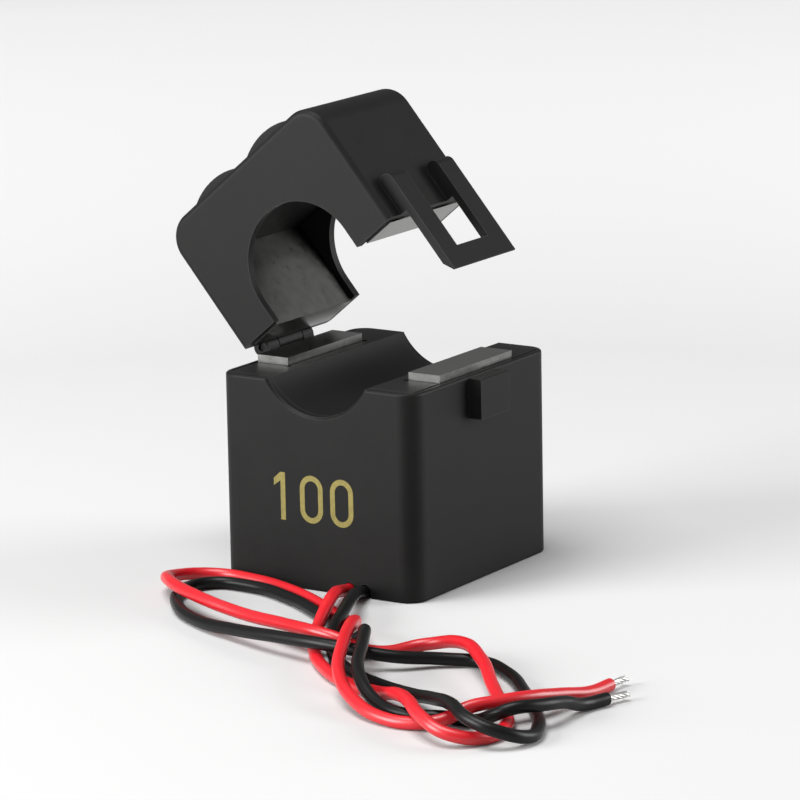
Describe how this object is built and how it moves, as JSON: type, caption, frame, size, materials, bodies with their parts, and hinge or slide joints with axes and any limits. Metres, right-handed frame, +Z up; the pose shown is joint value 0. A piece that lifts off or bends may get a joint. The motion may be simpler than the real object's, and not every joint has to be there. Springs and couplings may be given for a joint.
{
  "type": "split-core current transformer",
  "caption": "Split-core current transformer: a potted rectangular base with leads, and a hinged latching lid with the other core half, open.",
  "frame": {"origin": "centre of the flat foot under the base case", "axes": "+Z up from the foot, +Y along the conductor bore towards the rear face, +X from the hinge side to the latch side"},
  "size_m": [0.0805, 0.0792, 0.0574],
  "materials": {
    "black_housing": "fine matte texture",
    "core_steel": "satin, edges of laminations",
    "resin": "cast epoxy",
    "bobbin_plastic": "natural nylon",
    "copper_winding": "enamelled copper",
    "tape": "polyester film",
    "sleeve_plastic": "shrink tube",
    "red_insulation": "soft PVC",
    "black_insulation": "soft PVC",
    "tinned_copper": "tinned",
    "pin_steel": "blackened wire",
    "spring_steel": "spring strip"
  },
  "bodies": {
    "base": {"base_case": "black_housing", "bottom_plate": "black_housing", "potting_resin": "resin", "bore_deck": "black_housing", "lower_core": "core_steel", "bobbin_front": "bobbin_plastic", "bobbin_rear": "bobbin_plastic", "winding": "copper_winding", "winding_tape": "tape", "red_sleeve": "sleeve_plastic", "black_sleeve": "sleeve_plastic", "red_lead": "red_insulation", "black_lead": "black_insulation", "red_lead_end": "tinned_copper", "black_lead_end": "tinned_copper", "hinge_pin": "pin_steel"},
    "lid": {"lid_case": "black_housing", "upper_core": "core_steel", "core_keeper": "black_housing", "core_spring": "spring_steel"}
  },
  "joints": [
    {"name": "lid_hinge", "type": "hinge", "parent": "base", "child": "lid", "pos_m": [-0.0148, 0, 0.02659], "axis": [0, -1, 0], "range_deg": [-40, 60]}
  ]
}
